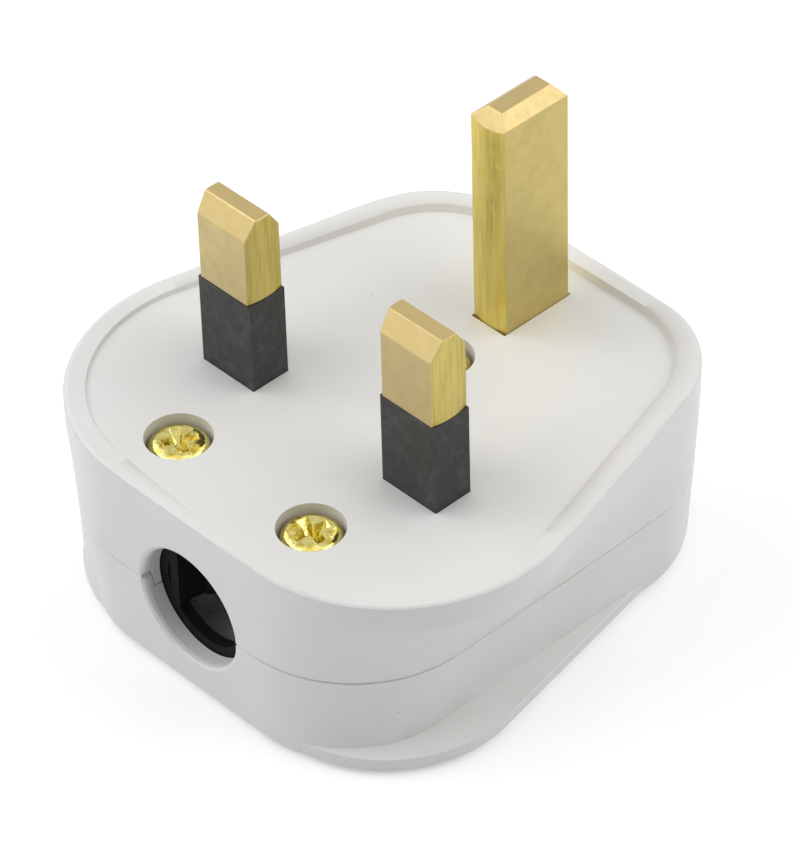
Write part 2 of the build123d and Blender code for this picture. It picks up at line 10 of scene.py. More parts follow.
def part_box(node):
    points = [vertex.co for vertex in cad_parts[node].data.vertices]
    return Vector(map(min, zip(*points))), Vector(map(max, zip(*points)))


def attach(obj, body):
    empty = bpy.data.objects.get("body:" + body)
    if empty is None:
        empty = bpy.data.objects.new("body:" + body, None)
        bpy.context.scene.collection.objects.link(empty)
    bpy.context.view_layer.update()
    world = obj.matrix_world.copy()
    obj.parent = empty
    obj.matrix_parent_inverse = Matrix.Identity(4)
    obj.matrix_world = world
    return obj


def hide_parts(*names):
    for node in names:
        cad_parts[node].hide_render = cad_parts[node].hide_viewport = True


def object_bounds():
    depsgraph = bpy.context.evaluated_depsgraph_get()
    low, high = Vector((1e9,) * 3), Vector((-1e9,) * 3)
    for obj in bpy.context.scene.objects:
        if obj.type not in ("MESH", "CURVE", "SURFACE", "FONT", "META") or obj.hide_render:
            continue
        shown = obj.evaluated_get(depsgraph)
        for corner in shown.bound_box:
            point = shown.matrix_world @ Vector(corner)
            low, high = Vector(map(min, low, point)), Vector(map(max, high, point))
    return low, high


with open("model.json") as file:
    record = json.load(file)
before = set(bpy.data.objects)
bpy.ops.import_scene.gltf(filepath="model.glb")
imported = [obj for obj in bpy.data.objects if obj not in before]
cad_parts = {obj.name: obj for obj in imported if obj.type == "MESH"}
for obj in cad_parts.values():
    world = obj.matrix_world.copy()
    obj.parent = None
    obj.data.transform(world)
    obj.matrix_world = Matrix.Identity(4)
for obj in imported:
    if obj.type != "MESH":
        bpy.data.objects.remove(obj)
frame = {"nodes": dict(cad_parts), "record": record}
cad_low, cad_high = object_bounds()
nodes = frame["nodes"]
MM = 0.001
own_shading = "own_shading"

# Camera, worked out from the pins and the shell's outline in the photograph
picture_long_side = 855
focal_length_px = 5095.5
sensor_mm = 36.0
camera_azimuth = 47.2
camera_elevation = 40.66
camera_roll = -1.7
camera_place = Vector((0.24317, -0.22431, 0.29903))

# Stage
floor_size = 6.0
floor_drop = 0.02 * MM
floor_colour = (0.86, 0.86, 0.86, 1)
floor_glow = 0.3

# Lights: name, azimuth from the cord hole's side, elevation and power in watts
world_strength = 0.24
light_distance = 0.6
light_size = 0.5
lights = [
    ("left_light", -75, 35, 1.03),
    ("front_left_light", -35, 40, 1.2),
    ("right_light", 125, 40, 1.32),
    ("back_light", 180, 35, 0.79),
    ("top_light", 0, 88, 0.6),
]

# Colours of the finishes
shell_white = (0.79, 0.787, 0.777, 1)
shell_cloud = (0.775, 0.77, 0.755, 1)
shell_speck = (0.30, 0.27, 0.22, 1)
short_brass = (0.56, 0.455, 0.225, 1)
earth_brass = (0.56, 0.455, 0.175, 1)
# Narrow sides of the pins: a yellower, streaked brass that is also brightened as painted light, for how
# brightly those sides are lit; the earth pin's the most.
short_narrow_tint_and_light = ((0.61, 0.495, 0.16, 1), (0.5, 0.41, 0.11, 1))
earth_narrow_tint_and_light = ((0.74, 0.6, 0.17, 1), (0.62, 0.51, 0.13, 1))
cropped_brass = (0.45, 0.35, 0.16, 1)
brass_brown = (0.27, 0.17, 0.06, 1)
screw_gold = (0.62, 0.55, 0.2, 1)
screw_amber = (0.46, 0.36, 0.07, 1)
sleeve_black = (0.026, 0.026, 0.025, 1)
sleeve_worn = (0.06, 0.06, 0.058, 1)

# Heights of the shell, in millimetres, and its slopes in degrees
parting_z = 9.4
flange_bottom_z = 17.1
pin_face_z = 19.4
ledge_z = 1.85
ledge_rise = 0.1
foot_height = 0.4
slope_angle = 35.0
cover_draft = 1.0

# Groove at the parting line, in millimetres
groove_depth = 0.1
groove_half = 0.13

# Cover's ledge, in millimetres: rounded lower edge, width under the waist and how far the foot stays in
ledge_edge_r = 1.2
ledge_lift = 0.02
ledge_brow = 0.08
ledge_width = 4.2
ledge_margin = 0.15
flange_tuck = 0.35

# How the outer walls are told apart and cut, in millimetres
wall_reach = 0.7
foot_reach = 1.3
foot_over = 0.03
ledge_over = 0.2
arc_snap = 0.12
slack = 0.02
fine_slack = 0.005
merge_distance = 0.002
cut_spacing = 2.0
shortest_cut = 1.3 * cut_spacing
cuts_each_way = 12
outline_steps = 180

# Plans of the shell, in millimetres: half width and corner radii (left, right) at the front,
# half width and corner radius at the back, and how far front and back are set in
packed_flange = (24.95, 16.0, 16.0, 19.15, 10.8, 0.0, 0.0)
packed_waist = (19.15, 10.7, 10.7, 19.15, 10.8, 0.0, 0.0)
seen_flange = (24.95, 16.0, 16.0, 19.7, 10.8, 0.0, 0.0)
seen_parting = (20.0, 9.9, 12.2, 20.0, 12.4, 0.0, 0.0)
seen_foot = (19.05, 8.2, 10.7, 19.05, 11.6, 0.13, 0.13)
seen_ledge = (22.7, 12.6, 12.6, 18.45, 10.1, 0.7, 0.7)

# Cover screws, in millimetres: head, cross recess with its round well, and thread
head_r = 2.7
head_height = 1.9
head_sink = 0.3
shoulder_r = 0.85
crown_rise = 0.12
recess_span = 3.5
recess_top = 0.95
recess_foot = 0.5
recess_depth = 1.25
recess_above = 0.6
well_r = 0.85
shank_r = 1.43
thread_root_r = 1.15
shank_tip_r = 1.05
thread_pitch = 0.7
unthreaded = 0.8

# Eased edges, in millimetres
pin_ease = 0.16
screw_ease = 0.07

# Place of each screw in millimetres, and turn of its recess in degrees
screw_places = {
    "front_left_screw": (-8.15, -17.0, 62),
    "front_right_screw": (8.15, -17.0, 78),
    "centre_screw": (0.0, 5.8, 20),
}


class Finish:
    """A material's node tree, with short calls for the nodes that the finishes share."""

    def __init__(self, name):
        self.material = bpy.data.materials.new(name)
        self.material.use_nodes = True
        self.tree = self.material.node_tree
        self.shader = self.tree.nodes["Principled BSDF"]
        self.place = self.tree.nodes.new("ShaderNodeTexCoord").outputs["Object"]

    def node(self, kind, **values):
        node = self.tree.nodes.new(kind)
        for key, value in values.items():
            setattr(node, key, value)
        return node

    def link(self, source, target):
        self.tree.links.new(source, target)

    def scaled(self, stretch):
        """Object coordinates, squeezed along each axis, so that a pattern is drawn out along one."""
        mapping = self.node("ShaderNodeMapping")
        mapping.inputs["Scale"].default_value = stretch
        self.link(self.place, mapping.inputs["Vector"])
        return mapping.outputs["Vector"]

    def noise(self, size, detail=3.0, roughness=0.55, stretch=(1, 1, 1)):
        """Cloudy pattern whose patches are about this size."""
        node = self.node("ShaderNodeTexNoise")
        node.inputs["Scale"].default_value = 1 / size
        node.inputs["Detail"].default_value = detail
        node.inputs["Roughness"].default_value = roughness
        self.link(self.scaled(stretch), node.inputs["Vector"])
        return node.outputs["Fac"]

    def dots(self, spacing, radius, share):
        """Round dots on this spacing, with only a share of them kept."""
        cells = self.node("ShaderNodeTexVoronoi")
        cells.inputs["Scale"].default_value = 1 / spacing
        self.link(self.place, cells.inputs["Vector"])
        near = self.ramp(cells.outputs["Distance"], radius / spacing * 0.6, radius / spacing, 1, 0)
        pick = self.node("ShaderNodeSeparateColor")
        self.link(cells.outputs["Color"], pick.inputs["Color"])
        kept = self.ramp(pick.outputs["Red"], share, share * 1.02, 1, 0)
        return self.times(near, kept)

    def ramp(self, source, low, high, start=0.0, end=1.0):
        """Value that runs smoothly from start to end as the source goes from low to high."""
        node = self.node("ShaderNodeMapRange", interpolation_type="SMOOTHSTEP")
        for name, value in (("From Min", low), ("From Max", high), ("To Min", start), ("To Max", end)):
            node.inputs[name].default_value = value
        self.link(source, node.inputs["Value"])
        return node.outputs["Result"]

    def times(self, one, other):
        return self.maths("MULTIPLY", one, other)

    def plus(self, one, other):
        return self.maths("ADD", one, other)

    def maths(self, operation, one, other):
        node = self.node("ShaderNodeMath", operation=operation)
        for socket, value in zip(node.inputs, (one, other)):
            if isinstance(value, (int, float)):
                socket.default_value = value
            else:
                self.link(value, socket)
        return node.outputs[0]

    def mix(self, share, one, other):
        """One colour turning into another as the share goes from 0 to 1."""
        node = self.node("ShaderNodeMix", data_type="RGBA")
        for name, value in (("Factor_Float", share), ("A_Color", one), ("B_Color", other)):
            socket = next(s for s in node.inputs if s.identifier == name)
            if isinstance(value, (tuple, float, int)):
                socket.default_value = value
            else:
                self.link(value, socket)
        return next(s for s in node.outputs if s.identifier == "Result_Color")

    def facing(self, axis):
        """How squarely the surface faces along an axis of the part, either way."""
        split = self.node("ShaderNodeSeparateXYZ")
        self.link(self.node("ShaderNodeNewGeometry").outputs["Normal"], split.inputs[0])
        return self.maths("ABSOLUTE", split.outputs[axis], 0.0)

    def colour(self, value):
        self.link(value, self.shader.inputs["Base Color"])

    def roughness(self, value):
        self.link(value, self.shader.inputs["Roughness"])

    def bump(self, height, depth, strength=1.0):
        node = self.node("ShaderNodeBump")
        node.inputs["Strength"].default_value = strength
        node.inputs["Distance"].default_value = depth
        self.link(height, node.inputs["Height"])
        self.link(node.outputs["Normal"], self.shader.inputs["Normal"])

    def set(self, **values):
        for key, value in values.items():
            self.shader.inputs[key.replace("_", " ")].default_value = value


def moulded_shell():
    """White urea moulding: soft gloss, faint clouding, a few dark specks and a fine orange peel."""
    finish = Finish("moulded_white_urea")
    clouds = finish.noise(9 * MM, 2)
    tint = finish.mix(finish.ramp(clouds, 0.3, 0.7), shell_white, shell_cloud)
    specks = finish.dots(2.6 * MM, 0.075 * MM, 0.16)
    finish.colour(finish.mix(specks, tint, shell_speck))
    peel = finish.noise(0.55 * MM, 2)
    ripple = finish.noise(5 * MM, 1)
    height = finish.plus(finish.times(peel, 0.25), ripple)
    finish.bump(height, 0.02 * MM)
    finish.roughness(finish.ramp(finish.noise(3 * MM), 0.3, 0.7, 0.34, 0.44))
    return finish.material


def pin_brass(name, broad, narrow_axis, narrow_tint_and_light, olive_tint_and_light):
    """Drawn brass, satin and a little tarnished, yellower and streaked on the narrow sides, which are also
    brightened as painted light.
    """
    finish = Finish(name)
    finish.set(Metallic=1.0)
    clouds = finish.ramp(finish.noise(1.3 * MM, 4, 0.6), 0.35, 0.75)
    dulled = tuple(0.9 * value for value in broad[:3]) + (1,)
    tone = finish.mix(clouds, broad, dulled)
    fine = finish.noise(0.45 * MM, 4, 0.65, (1, 1, 0.07))
    narrow = finish.mix(finish.ramp(fine, 0.42, 0.66), narrow_tint_and_light, olive_tint_and_light)
    scores = finish.ramp(finish.noise(0.35 * MM, 3, 0.6, (1, 1, 0.035)), 0.63, 0.7)
    narrow = finish.mix(finish.times(scores, 0.5), narrow, brass_brown)
    # The narrow sides, told by which way they face, take the yellower tone that also carries painted light.
    side = finish.ramp(finish.facing(narrow_axis), 0.75, 0.95)
    tone = finish.mix(side, tone, narrow)
    tone = finish.mix(finish.ramp(finish.facing("Z"), 0.25, 0.5), tone, cropped_brass)
    pits = finish.dots(0.5 * MM, 0.06 * MM, 0.3)
    finish.colour(finish.mix(finish.times(pits, 0.5), tone, brass_brown))
    grain = finish.noise(0.2 * MM, 3, 0.6, (1, 1, 0.15))
    finish.bump(finish.plus(finish.times(grain, 0.5), finish.times(pits, -0.8)), 0.01 * MM)
    finish.roughness(finish.ramp(finish.noise(0.8 * MM, 4), 0.3, 0.75, 0.38, 0.5))
    return finish.material


def screw_brass():
    """Bright plated brass, slightly beaten, with patches of amber."""
    finish = Finish("bright_screw_brass")
    finish.set(Metallic=1.0)
    clouds = finish.noise(0.7 * MM, 3)
    finish.colour(finish.mix(finish.ramp(clouds, 0.4, 0.7), screw_gold, screw_amber))
    finish.bump(finish.noise(0.6 * MM, 2), 0.05 * MM)
    finish.roughness(finish.ramp(finish.noise(0.5 * MM), 0.3, 0.7, 0.1, 0.18))
    return finish.material


def plain_metal(name, colour, dull, roughness, grain_size):
    """Metal of the inner pieces, with soft clouding and a fine grain."""
    finish = Finish(name)
    finish.set(Metallic=1.0)
    finish.colour(finish.mix(finish.ramp(finish.noise(1.5 * MM), 0.35, 0.7), colour, dull))
    finish.bump(finish.noise(grain_size, 3), 0.01 * MM)
    finish.roughness(finish.ramp(finish.noise(0.7 * MM), 0.3, 0.7, roughness, roughness + 0.12))
    return finish.material


def plain_solid(name, colour, worn, roughness, grain_size, depth, shine=0.5):
    """Plastic, fibre or ceramic of the inner pieces."""
    finish = Finish(name)
    finish.colour(finish.mix(finish.ramp(finish.noise(2 * MM), 0.35, 0.7), colour, worn))
    finish.bump(finish.noise(grain_size, 3), depth)
    finish.roughness(finish.ramp(finish.noise(0.9 * MM), 0.3, 0.7, roughness, roughness + 0.12))
    finish.set(Specular_IOR_Level=shine)
    return finish.material


def pin_sleeve():
    """Black insulating sleeve, matt, with pale specks and slightly worn patches."""
    finish = Finish("black_pin_sleeve")
    patches = finish.noise(1.6 * MM, 4, 0.6)
    tone = finish.mix(finish.ramp(patches, 0.45, 0.8), sleeve_black, sleeve_worn)
    specks = finish.dots(0.9 * MM, 0.05 * MM, 0.18)
    finish.colour(finish.mix(finish.times(specks, 0.6), tone, (0.25, 0.25, 0.24, 1)))
    finish.set(Specular_IOR_Level=0.4)
    finish.bump(finish.noise(0.22 * MM, 3), 0.014 * MM)
    finish.roughness(finish.ramp(finish.noise(0.6 * MM), 0.3, 0.7, 0.42, 0.58))
    return finish.material


short_pin_finish = pin_brass("short_pin_brass", short_brass, "X", *short_narrow_tint_and_light)
earth_pin_finish = pin_brass("earth_pin_brass", earth_brass, "Y", *earth_narrow_tint_and_light)
insert_tones = ((0.68, 0.53, 0.24, 1), (0.55, 0.42, 0.18, 1))
clip_tones = ((0.66, 0.42, 0.22, 1), (0.5, 0.3, 0.15, 1))
ceramic_tones = ((0.8, 0.77, 0.68, 1), (0.74, 0.7, 0.6, 1))
plated_tones = ((0.76, 0.75, 0.72, 1), (0.6, 0.59, 0.56, 1))
steel_tones = ((0.6, 0.6, 0.6, 1), (0.45, 0.45, 0.46, 1))
fibre_tones = ((0.3, 0.07, 0.04, 1), (0.22, 0.05, 0.03, 1))
# Cord grip: black nylon, darkened to almost nothing so that it also stands as painted shade inside the cord
# hole.
grip_black_and_hole_shade_tones = ((0.005, 0.005, 0.005, 1), (0.008, 0.008, 0.008, 1))
finishes = {
    "shell": moulded_shell(),
    "pin_brass": short_pin_finish,
    "sleeve": pin_sleeve(),
    "screw_brass": screw_brass(),
    "insert_brass": plain_metal("turned_insert_brass", *insert_tones, 0.28, 0.2 * MM),
    "clip_copper": plain_metal("spring_bronze", *clip_tones, 0.28, 0.2 * MM),
    "fuse_ceramic": plain_solid("fuse_ceramic", *ceramic_tones, 0.25, 0.8 * MM, 0.01 * MM),
    "fuse_cap": plain_metal("plated_fuse_cap", *plated_tones, 0.16, 0.4 * MM),
    "washer_steel": plain_metal("plated_washer_steel", *steel_tones, 0.3, 0.15 * MM),
    "retainer_fibre": plain_solid("red_fibre", *fibre_tones, 0.6, 0.15 * MM, 0.03 * MM),
    # The grip's nylon, darkened as painted shade of the cord hole.
    "grip_nylon": plain_solid("black_nylon_and_hole_shade", *grip_black_and_hole_shade_tones, 0.6, 0.4 * MM, 0.015 * MM, 0.15),
}


def dress_nodes():
    """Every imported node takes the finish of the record's slot that it names."""
    for part in frame["record"]["subparts"]:
        mesh = nodes[part["node"]].data
        mesh.materials.clear()
        mesh.materials.append(finishes[part["material_slot"]])


def new_piece(name, form, finish, smooth_angle=30):
    """Object from a bmesh, smooth where its faces meet at less than this angle."""
    mesh = bpy.data.meshes.new(name)
    form.to_mesh(mesh)
    form.free()
    mesh.polygons.foreach_set("use_smooth", [True] * len(mesh.polygons))
    mesh.set_sharp_from_angle(angle=math.radians(smooth_angle))
    mesh.materials.clear()
    mesh.materials.append(finish)
    piece = bpy.data.objects.new(name, mesh)
    bpy.context.scene.collection.objects.link(piece)
    return piece


def settle_modifiers(piece):
    """The modifiers' result becomes the piece's own mesh."""
    graph = bpy.context.evaluated_depsgraph_get()
    piece.data = bpy.data.meshes.new_from_object(piece.evaluated_get(graph))
    piece.modifiers.clear()


def stand_for(piece, node):
    """The piece is shown in the node's place, under the root body, and the node is hidden."""
    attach(piece, "root")
    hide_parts(node)


def corner_values(mesh, source):
    """One vector for each corner of the mesh's faces."""
    values = np.empty(3 * len(mesh.loops), dtype=np.float32)
    source.foreach_get("vector", values)
    return values.reshape(-1, 3)


def merged_copy(mesh):
    """The mesh's loose triangles joined at their corners."""
    form = bmesh.new()
    form.from_mesh(mesh)
    bmesh.ops.remove_doubles(form, verts=form.verts, dist=merge_distance * MM)
    return form


def shaded_copy(node):
    """Merged copy of a node in which each corner of a face carries the node's own shading."""
    mesh = nodes[node].data.copy()
    normals = mesh.attributes.new(own_shading, "FLOAT_VECTOR", "CORNER")
    normals.data.foreach_set("vector", corner_values(mesh, mesh.corner_normals).ravel())
    form = merged_copy(mesh)
    bpy.data.meshes.remove(mesh)
    return form


class Plan:
    """Outline round four corner circles, as its distance from the middle at each bearing."""

    def __init__(self, sizes, inset=0.0):
        front_half, left_r, right_r, back_half, back_r, front_in, back_in = sizes
        front = cad_low.y / MM + front_in
        back = cad_high.y / MM - back_in
        circles = [
            (front_half - right_r, front + right_r, right_r),
            (left_r - front_half, front + left_r, left_r),
            (back_half - back_r, back - back_r, back_r),
            (back_r - back_half, back - back_r, back_r),
        ]
        points = []
        for bearing in np.radians(np.arange(0, 360, 1.0)):
            out = np.array((math.cos(bearing), math.sin(bearing)))
            middle_x, middle_y, radius = max(circles, key=lambda c: c[0] * out[0] + c[1] * out[1] + c[2])
            points.append(np.array((middle_x, middle_y)) + (radius - inset) * out)
        points.append(points[0])
        filled = []
        for one, other in zip(points, points[1:]):
            steps = max(1, int(np.linalg.norm(other - one) / 0.3))
            filled += [one + (other - one) * i / steps for i in range(steps)]
        filled = np.array(filled)
        bearings = np.arctan2(filled[:, 1], filled[:, 0])
        order = np.argsort(bearings)
        self.bearings = bearings[order]
        self.reaches = np.hypot(filled[:, 0], filled[:, 1])[order]

    def reach(self, bearing):
        return np.interp(bearing, self.bearings, self.reaches, period=2 * math.pi)


def with_edges(faces):
    """The faces with their edges and points, as the cutting operator takes them."""
    edges = {edge for face in faces for edge in face.edges}
    verts = {vert for face in faces for vert in face.verts}
    return faces + list(edges) + list(verts)


def sliced(form, geometry, place, normal):
    """Extra edges where a plane crosses the geometry, which is returned with them."""
    cut = bmesh.ops.bisect_plane(form, geom=geometry, plane_co=place, plane_no=normal, dist=1e-8)
    return cut["geom"]


def is_long(face, axis, other):
    """Whether a wall face runs along this axis for more than the shortest cut."""
    places = [vert.co[axis] for vert in face.verts]
    along = abs(face.normal[other]) >= abs(face.normal[axis])
    return along and max(places) - min(places) > shortest_cut * MM


def cut_wall(form, packed_at, groove_edge_z):
    """Extra edges across the long faces of the outer wall, and one along the edge of the groove."""
    form.normal_update()
    wall = [face for face in form.faces if all(packed_at(vert) for vert in face.verts)]
    for axis, other in ((0, 1), (1, 0)):
        normal = Vector((0, 0, 0))
        normal[axis] = 1
        geometry = with_edges([face for face in wall if is_long(face, axis, other)])
        for step in range(-cuts_each_way, cuts_each_way + 1):
            geometry = sliced(form, geometry, normal * step * cut_spacing * MM, normal)
    wall = [face for face in form.faces if all(packed_at(vert) for vert in face.verts)]
    sliced(form, with_edges(wall), Vector((0, 0, groove_edge_z * MM)), Vector((0, 0, 1)))


def reach_of(vert):
    """Distance of a point from the shell's upright middle line, in millimetres."""
    return math.hypot(vert.co.x, vert.co.y) / MM


def bearing_of(vert):
    return math.atan2(vert.co.y, vert.co.x)


def set_reach(vert, reach):
    growth = reach / reach_of(vert)
    vert.co.x *= growth
    vert.co.y *= growth


def move_wall(vert, packed, seen):
    """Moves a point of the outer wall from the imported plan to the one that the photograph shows."""
    reach = reach_of(vert)
    if abs(vert.co.z / MM - parting_z) < slack:
        seen -= groove_depth
    set_reach(vert, seen if abs(reach - packed) < arc_snap else reach + seen - packed)


def moulding_piece(name, form, node, places):
    """Piece whose unmoved faces keep the node's own shading."""
    form.verts.index_update()
    kept = {vert.index for vert, place in places.items() if (vert.co - place).length < slack * MM}
    piece = new_piece(name, form, finishes["shell"])
    mesh = piece.data
    shading = corner_values(mesh, mesh.corner_normals)
    own = corner_values(mesh, mesh.attributes[own_shading].data)
    for face in mesh.polygons:
        if kept.issuperset(face.vertices):
            shading[face.loop_start:face.loop_start + face.loop_total] = own[face.loop_indices]
    mesh.attributes.remove(mesh.attributes[own_shading])
    mesh.normals_split_custom_set(shading.tolist())
    stand_for(piece, node)


def base_moulding():
    """Base with its side walls running straight from the flange's edge to the parting line."""
    form = shaded_copy("base")
    flange, waist = Plan(packed_flange), Plan(packed_waist)
    new_flange, new_parting = Plan(seen_flange), Plan(seen_parting)
    fall = math.tan(math.radians(slope_angle))
    slopes = {}

    def packed_at(vert):
        """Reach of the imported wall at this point, or None for a point away from the wall."""
        z = vert.co.z / MM
        if z < parting_z - slack:
            return None
        if z > flange_bottom_z - slack:
            packed = flange.reach(bearing_of(vert))
        else:
            level = round(z, 1)
            if level not in slopes:
                slopes[level] = Plan(packed_flange, (flange_bottom_z - level) * fall)
            packed = max(waist.reach(bearing_of(vert)), slopes[level].reach(bearing_of(vert)))
        return packed if reach_of(vert) > packed - wall_reach else None

    places = {vert: vert.co.copy() for vert in form.verts}
    cut_wall(form, packed_at, parting_z + groove_half)
    for vert in form.verts:
        packed = packed_at(vert)
        if packed is None:
            continue
        share = min(1, (vert.co.z / MM - parting_z) / (flange_bottom_z - parting_z))
        seen = new_parting.reach(bearing_of(vert)) * (1 - share) + new_flange.reach(bearing_of(vert)) * share
        move_wall(vert, packed, seen)
    moulding_piece("base_moulding", form, "base", places)


def ledge_form(form):
    """Finger flange of the cover, which narrows to nothing near the back corners."""
    rows = []
    for turn in np.radians((0, 18, 36, 54, 72, 90)):
        height = ledge_edge_r * (1 - math.cos(turn)) + ledge_lift
        rows.append((ledge_edge_r * (1 - math.sin(turn)), height))
    rows.append((0, ledge_z - ledge_brow))
    rows.append((ledge_brow, ledge_z + ledge_lift))
    rows.append((ledge_width, ledge_z + ledge_rise + ledge_lift))
    loops = []
    for inset, z in rows:
        plan = Plan(seen_ledge, inset)
        loop = []
        for i in range(outline_steps):
            bearing = 2 * math.pi * i / outline_steps - math.pi
            reach = float(plan.reach(bearing)) * MM
            loop.append(form.verts.new((reach * math.cos(bearing), reach * math.sin(bearing), z * MM)))
        loops.append(loop)
    for lower, upper in zip(loops, loops[1:]):
        for i in range(outline_steps):
            j = (i + 1) % outline_steps
            form.faces.new((lower[i], lower[j], upper[j], upper[i]))
    form.faces.new(loops[0][::-1])
    form.faces.new(loops[-1])


def cover_moulding():
    """Cover with its waist and flange as the photograph shows them."""
    form = shaded_copy("cover")
    new_parting, new_foot = Plan(seen_parting), Plan(seen_foot)
    fall = math.tan(math.radians(cover_draft))
    foot = Plan(packed_waist, (parting_z - ledge_z) * fall)
    ledge_edge = Plan(seen_ledge)
    waists = {}

    def packed_at(vert):
        """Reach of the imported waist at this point, or None for a point away from it."""
        z = vert.co.z / MM
        if z < ledge_z + fine_slack:
            return None
        level = round(z, 1)
        if level not in waists:
            waists[level] = Plan(packed_waist, (parting_z - level) * fall)
        packed = waists[level].reach(bearing_of(vert))
        if z < ledge_z + ledge_rise + slack and reach_of(vert) > packed + ledge_over:
            return None
        return packed if reach_of(vert) > packed - wall_reach else None

    places = {vert: vert.co.copy() for vert in form.verts}
    cut_wall(form, packed_at, parting_z - groove_half)
    for vert in form.verts:
        z = vert.co.z / MM
        bearing = bearing_of(vert)
        packed = packed_at(vert)
        at_back = bearing > 0
        if packed is not None:
            share = (z - ledge_z) / (parting_z - ledge_z)
            seen = new_foot.reach(bearing) * (1 - share) + new_parting.reach(bearing) * share
            move_wall(vert, packed, seen)
            most = ledge_edge.reach(bearing) - ledge_margin
            if not at_back and z < ledge_z + foot_height and reach_of(vert) > most:
                set_reach(vert, most)
        elif at_back and z < ledge_z + fine_slack:
            reach = reach_of(vert)
            packed = foot.reach(bearing)
            if packed - foot_reach < reach < packed + foot_over:
                tuck = flange_tuck * (1 - z / ledge_z) * math.sin(bearing)
                set_reach(vert, reach + new_foot.reach(bearing) - packed - tuck)
    ledge_form(form)
    moulding_piece("cover_moulding", form, "cover", places)


def soft_edged_pin(node, finish):
    """Pin with its edges eased, as drawn and cropped brass has."""
    form = merged_copy(nodes[node].data)
    bmesh.ops.dissolve_limit(form, angle_limit=math.radians(1), verts=form.verts, edges=form.edges)
    piece = new_piece(node + "_blade", form, finish)
    ease = piece.modifiers.new("ease", "BEVEL")
    ease.width = pin_ease * MM
    ease.segments = 3
    ease.limit_method = "ANGLE"
    ease.angle_limit = math.radians(20)
    ease.harden_normals = True
    settle_modifiers(piece)
    stand_for(piece, node)


def lathed(profile, steps, form):
    """Closed turned shape round Z from points of (radius, height), axis to axis."""
    low = form.verts.new((0, 0, profile[0][1] * MM))
    high = form.verts.new((0, 0, profile[-1][1] * MM))
    loops = []
    for radius, z in profile[1:-1]:
        loop = []
        for i in range(steps):
            turn = 2 * math.pi * i / steps
            loop.append(form.verts.new((radius * MM * math.cos(turn), radius * MM * math.sin(turn), z * MM)))
        loops.append(loop)
    for i in range(steps):
        j = (i + 1) % steps
        form.faces.new((low, loops[0][j], loops[0][i]))
        form.faces.new((high, loops[-1][i], loops[-1][j]))
        for lower, upper in zip(loops, loops[1:]):
            form.faces.new((lower[i], lower[j], upper[j], upper[i]))


def recess_cutter(turn):
    """Tapered cross with a round well, as a cutting shape below a plane just above the head."""
    form = bmesh.new()
    growth = (recess_depth + recess_above) / recess_depth
    foot_span = 0.45 * recess_span
    top_span = foot_span + (recess_span - foot_span) * growth
    top_width = recess_foot + (recess_top - recess_foot) * growth
    for arm in (0, 90):
        spread = math.radians(turn + arm)
        along = Vector((math.cos(spread), math.sin(spread), 0))
        across = Vector((-along.y, along.x, 0))
        rows = []
        for z, length, width in (
            (-recess_depth, foot_span, recess_foot),
            (recess_above, top_span, top_width),
        ):
            rows.append([
                form.verts.new((along * sx * length / 2 + across * sy * width / 2 + Vector((0, 0, z))) * MM)
                for sx, sy in ((-1, -1), (1, -1), (1, 1), (-1, 1))
            ])
        low, high = rows
        form.faces.new(low[::-1])
        form.faces.new(high)
        for i in range(4):
            j = (i + 1) % 4
            form.faces.new((low[i], low[j], high[j], high[i]))
    well = [(0, -1.35 * recess_depth), (0.25, -1.3 * recess_depth), (well_r, 0)]
    lathed(well + [(well_r, recess_above), (0, recess_above)], 20, form)
    return form


def cover_screw(node, x, y, turn):
    """Pan head with a round shoulder and a cross recess, on a threaded shank."""
    seat_z = pin_face_z - head_sink - head_height
    shank_bottom_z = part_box(node)[0].z / MM
    top = head_height - crown_rise
    shoulder = [
        (head_r - shoulder_r * (1 - math.sin(t)), top - shoulder_r * (1 - math.cos(t)))
        for t in np.radians((90, 72, 54, 36, 18, 0))
    ]
    crown = [(head_r - shoulder_r - 0.6, top + 0.08), (0, head_height)]
    shank_bottom = shank_bottom_z - seat_z
    shank = [(0, shank_bottom), (shank_tip_r, shank_bottom)]
    turns = int((-unthreaded - shank_bottom) / thread_pitch)
    for i in range(turns):
        z = shank_bottom + 0.3 + i * thread_pitch
        shank += [(thread_root_r, z), (shank_r, z + 0.3 * thread_pitch)]
        shank += [(shank_r, z + 0.4 * thread_pitch), (thread_root_r, z + 0.7 * thread_pitch)]
    shank += [(shank_r, -0.5), (shank_r, 0), (head_r - 0.1, 0), (head_r, 0.1)]
    form = bmesh.new()
    lathed(shank + shoulder + crown, 64, form)
    head = new_piece(node + "_turned", form, finishes["screw_brass"], 40)
    cutter = new_piece(node + "_cutter", recess_cutter(turn), finishes["screw_brass"])
    cutter.data.transform(Matrix.Translation((0, 0, head_height * MM)))
    cut = head.modifiers.new("recess", "BOOLEAN")
    cut.operation = "DIFFERENCE"
    cut.solver = "EXACT"
    cut.use_self = True
    cut.object = cutter
    ease = head.modifiers.new("ease", "BEVEL")
    ease.width = screw_ease * MM
    ease.segments = 2
    ease.limit_method = "ANGLE"
    ease.angle_limit = math.radians(35)
    settle_modifiers(head)
    bpy.data.objects.remove(cutter)
    head.data.transform(Matrix.Translation((x * MM, y * MM, seat_z * MM)))
    head.data.polygons.foreach_set("use_smooth", [True] * len(head.data.polygons))
    head.data.set_sharp_from_angle(angle=math.radians(40))
    stand_for(head, node)


def soft_light(name, azimuth, elevation, power, aim):
    """Square lamp that looks at a point from this direction."""
    data = bpy.data.lights.new(name, "AREA")
    data.shape = "SQUARE"
    data.size = light_size
    data.energy = power
    lamp = bpy.data.objects.new(name, data)
    bpy.context.scene.collection.objects.link(lamp)
    turn, rise = math.radians(azimuth), math.radians(elevation)
    away = Vector((math.sin(turn) * math.cos(rise), -math.cos(turn) * math.cos(rise), math.sin(rise)))
    lamp.location = aim + away * light_distance
    lamp.rotation_euler = (-away).to_track_quat("-Z", "Y").to_euler()
    return lamp


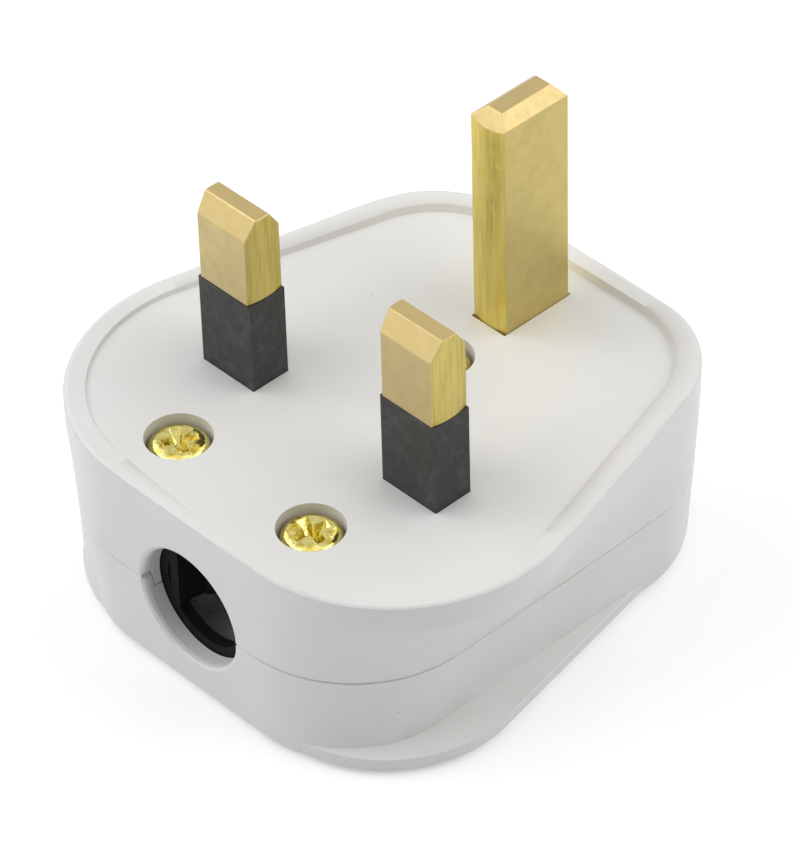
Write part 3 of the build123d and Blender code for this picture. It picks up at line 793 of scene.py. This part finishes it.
def seen_or_mirrored(tree):
    """1 for rays from the camera, from a shiny surface or through a clear one."""
    path = tree.nodes.new("ShaderNodeLightPath")
    total = path.outputs["Is Camera Ray"]
    for kind in ("Is Glossy Ray", "Is Transmission Ray"):
        either = tree.nodes.new("ShaderNodeMath")
        either.operation = "MAXIMUM"
        tree.links.new(total, either.inputs[0])
        tree.links.new(path.outputs[kind], either.inputs[1])
        total = either.outputs[0]
    return total


def white_floor():
    """Pale floor that shows white to the camera and keeps the object's soft shadow."""
    half = floor_size / 2
    mesh = bpy.data.meshes.new("floor")
    corners = [(x * half, y * half, -floor_drop) for x, y in ((-1, -1), (1, -1), (1, 1), (-1, 1))]
    mesh.from_pydata(corners, [], [(0, 1, 2, 3)])
    floor = bpy.data.objects.new("floor", mesh)
    bpy.context.scene.collection.objects.link(floor)
    material = bpy.data.materials.new("white_floor")
    material.use_nodes = True
    tree = material.node_tree
    shader = tree.nodes["Principled BSDF"]
    shader.inputs["Base Color"].default_value = floor_colour
    shader.inputs["Roughness"].default_value = 0.9
    shader.inputs["Specular IOR Level"].default_value = 0.0
    shader.inputs["Emission Color"].default_value = (1, 1, 1, 1)
    glow = tree.nodes.new("ShaderNodeMath")
    glow.operation = "MULTIPLY"
    glow.inputs[1].default_value = floor_glow
    tree.links.new(seen_or_mirrored(tree), glow.inputs[0])
    tree.links.new(glow.outputs[0], shader.inputs["Emission Strength"])
    mesh.materials.append(material)


def world_light(strength):
    """Even white surroundings, seen as pure white by the camera."""
    world = bpy.data.worlds.new("studio")
    world.use_nodes = True
    bpy.context.scene.world = world
    tree = world.node_tree
    background = tree.nodes["Background"]
    background.inputs["Color"].default_value = (1, 1, 1, 1)
    level = tree.nodes.new("ShaderNodeMapRange")
    level.inputs["To Min"].default_value = strength
    level.inputs["To Max"].default_value = 1.0
    tree.links.new(seen_or_mirrored(tree), level.inputs["Value"])
    tree.links.new(level.outputs["Result"], background.inputs["Strength"])


def studio():
    middle = (cad_low + cad_high) / 2
    world_light(world_strength)
    for name, azimuth, elevation, power in lights:
        soft_light(name, azimuth, elevation, power, middle)
    white_floor()


def photograph_camera():
    data = bpy.data.cameras.new("camera")
    data.sensor_width = sensor_mm
    data.lens = focal_length_px / picture_long_side * sensor_mm
    data.clip_start = 0.01
    camera = bpy.data.objects.new("camera", data)
    bpy.context.scene.collection.objects.link(camera)
    turn, rise = math.radians(camera_azimuth), math.radians(camera_elevation)
    look = -Vector((math.sin(turn) * math.cos(rise), -math.cos(turn) * math.cos(rise), math.sin(rise)))
    upright = look.to_track_quat("-Z", "Y").to_matrix()
    turned = upright @ Matrix.Rotation(math.radians(camera_roll), 3, "Z")
    camera.matrix_world = Matrix.Translation(camera_place) @ turned.to_4x4()
    bpy.context.scene.camera = camera


dress_nodes()
base_moulding()
cover_moulding()
soft_edged_pin("earth_pin", earth_pin_finish)
soft_edged_pin("line_pin", short_pin_finish)
soft_edged_pin("neutral_pin", short_pin_finish)
for screw, (x, y, turn) in screw_places.items():
    cover_screw(screw, x, y, turn)
studio()
photograph_camera()
bpy.context.scene.view_settings.view_transform = "Standard"
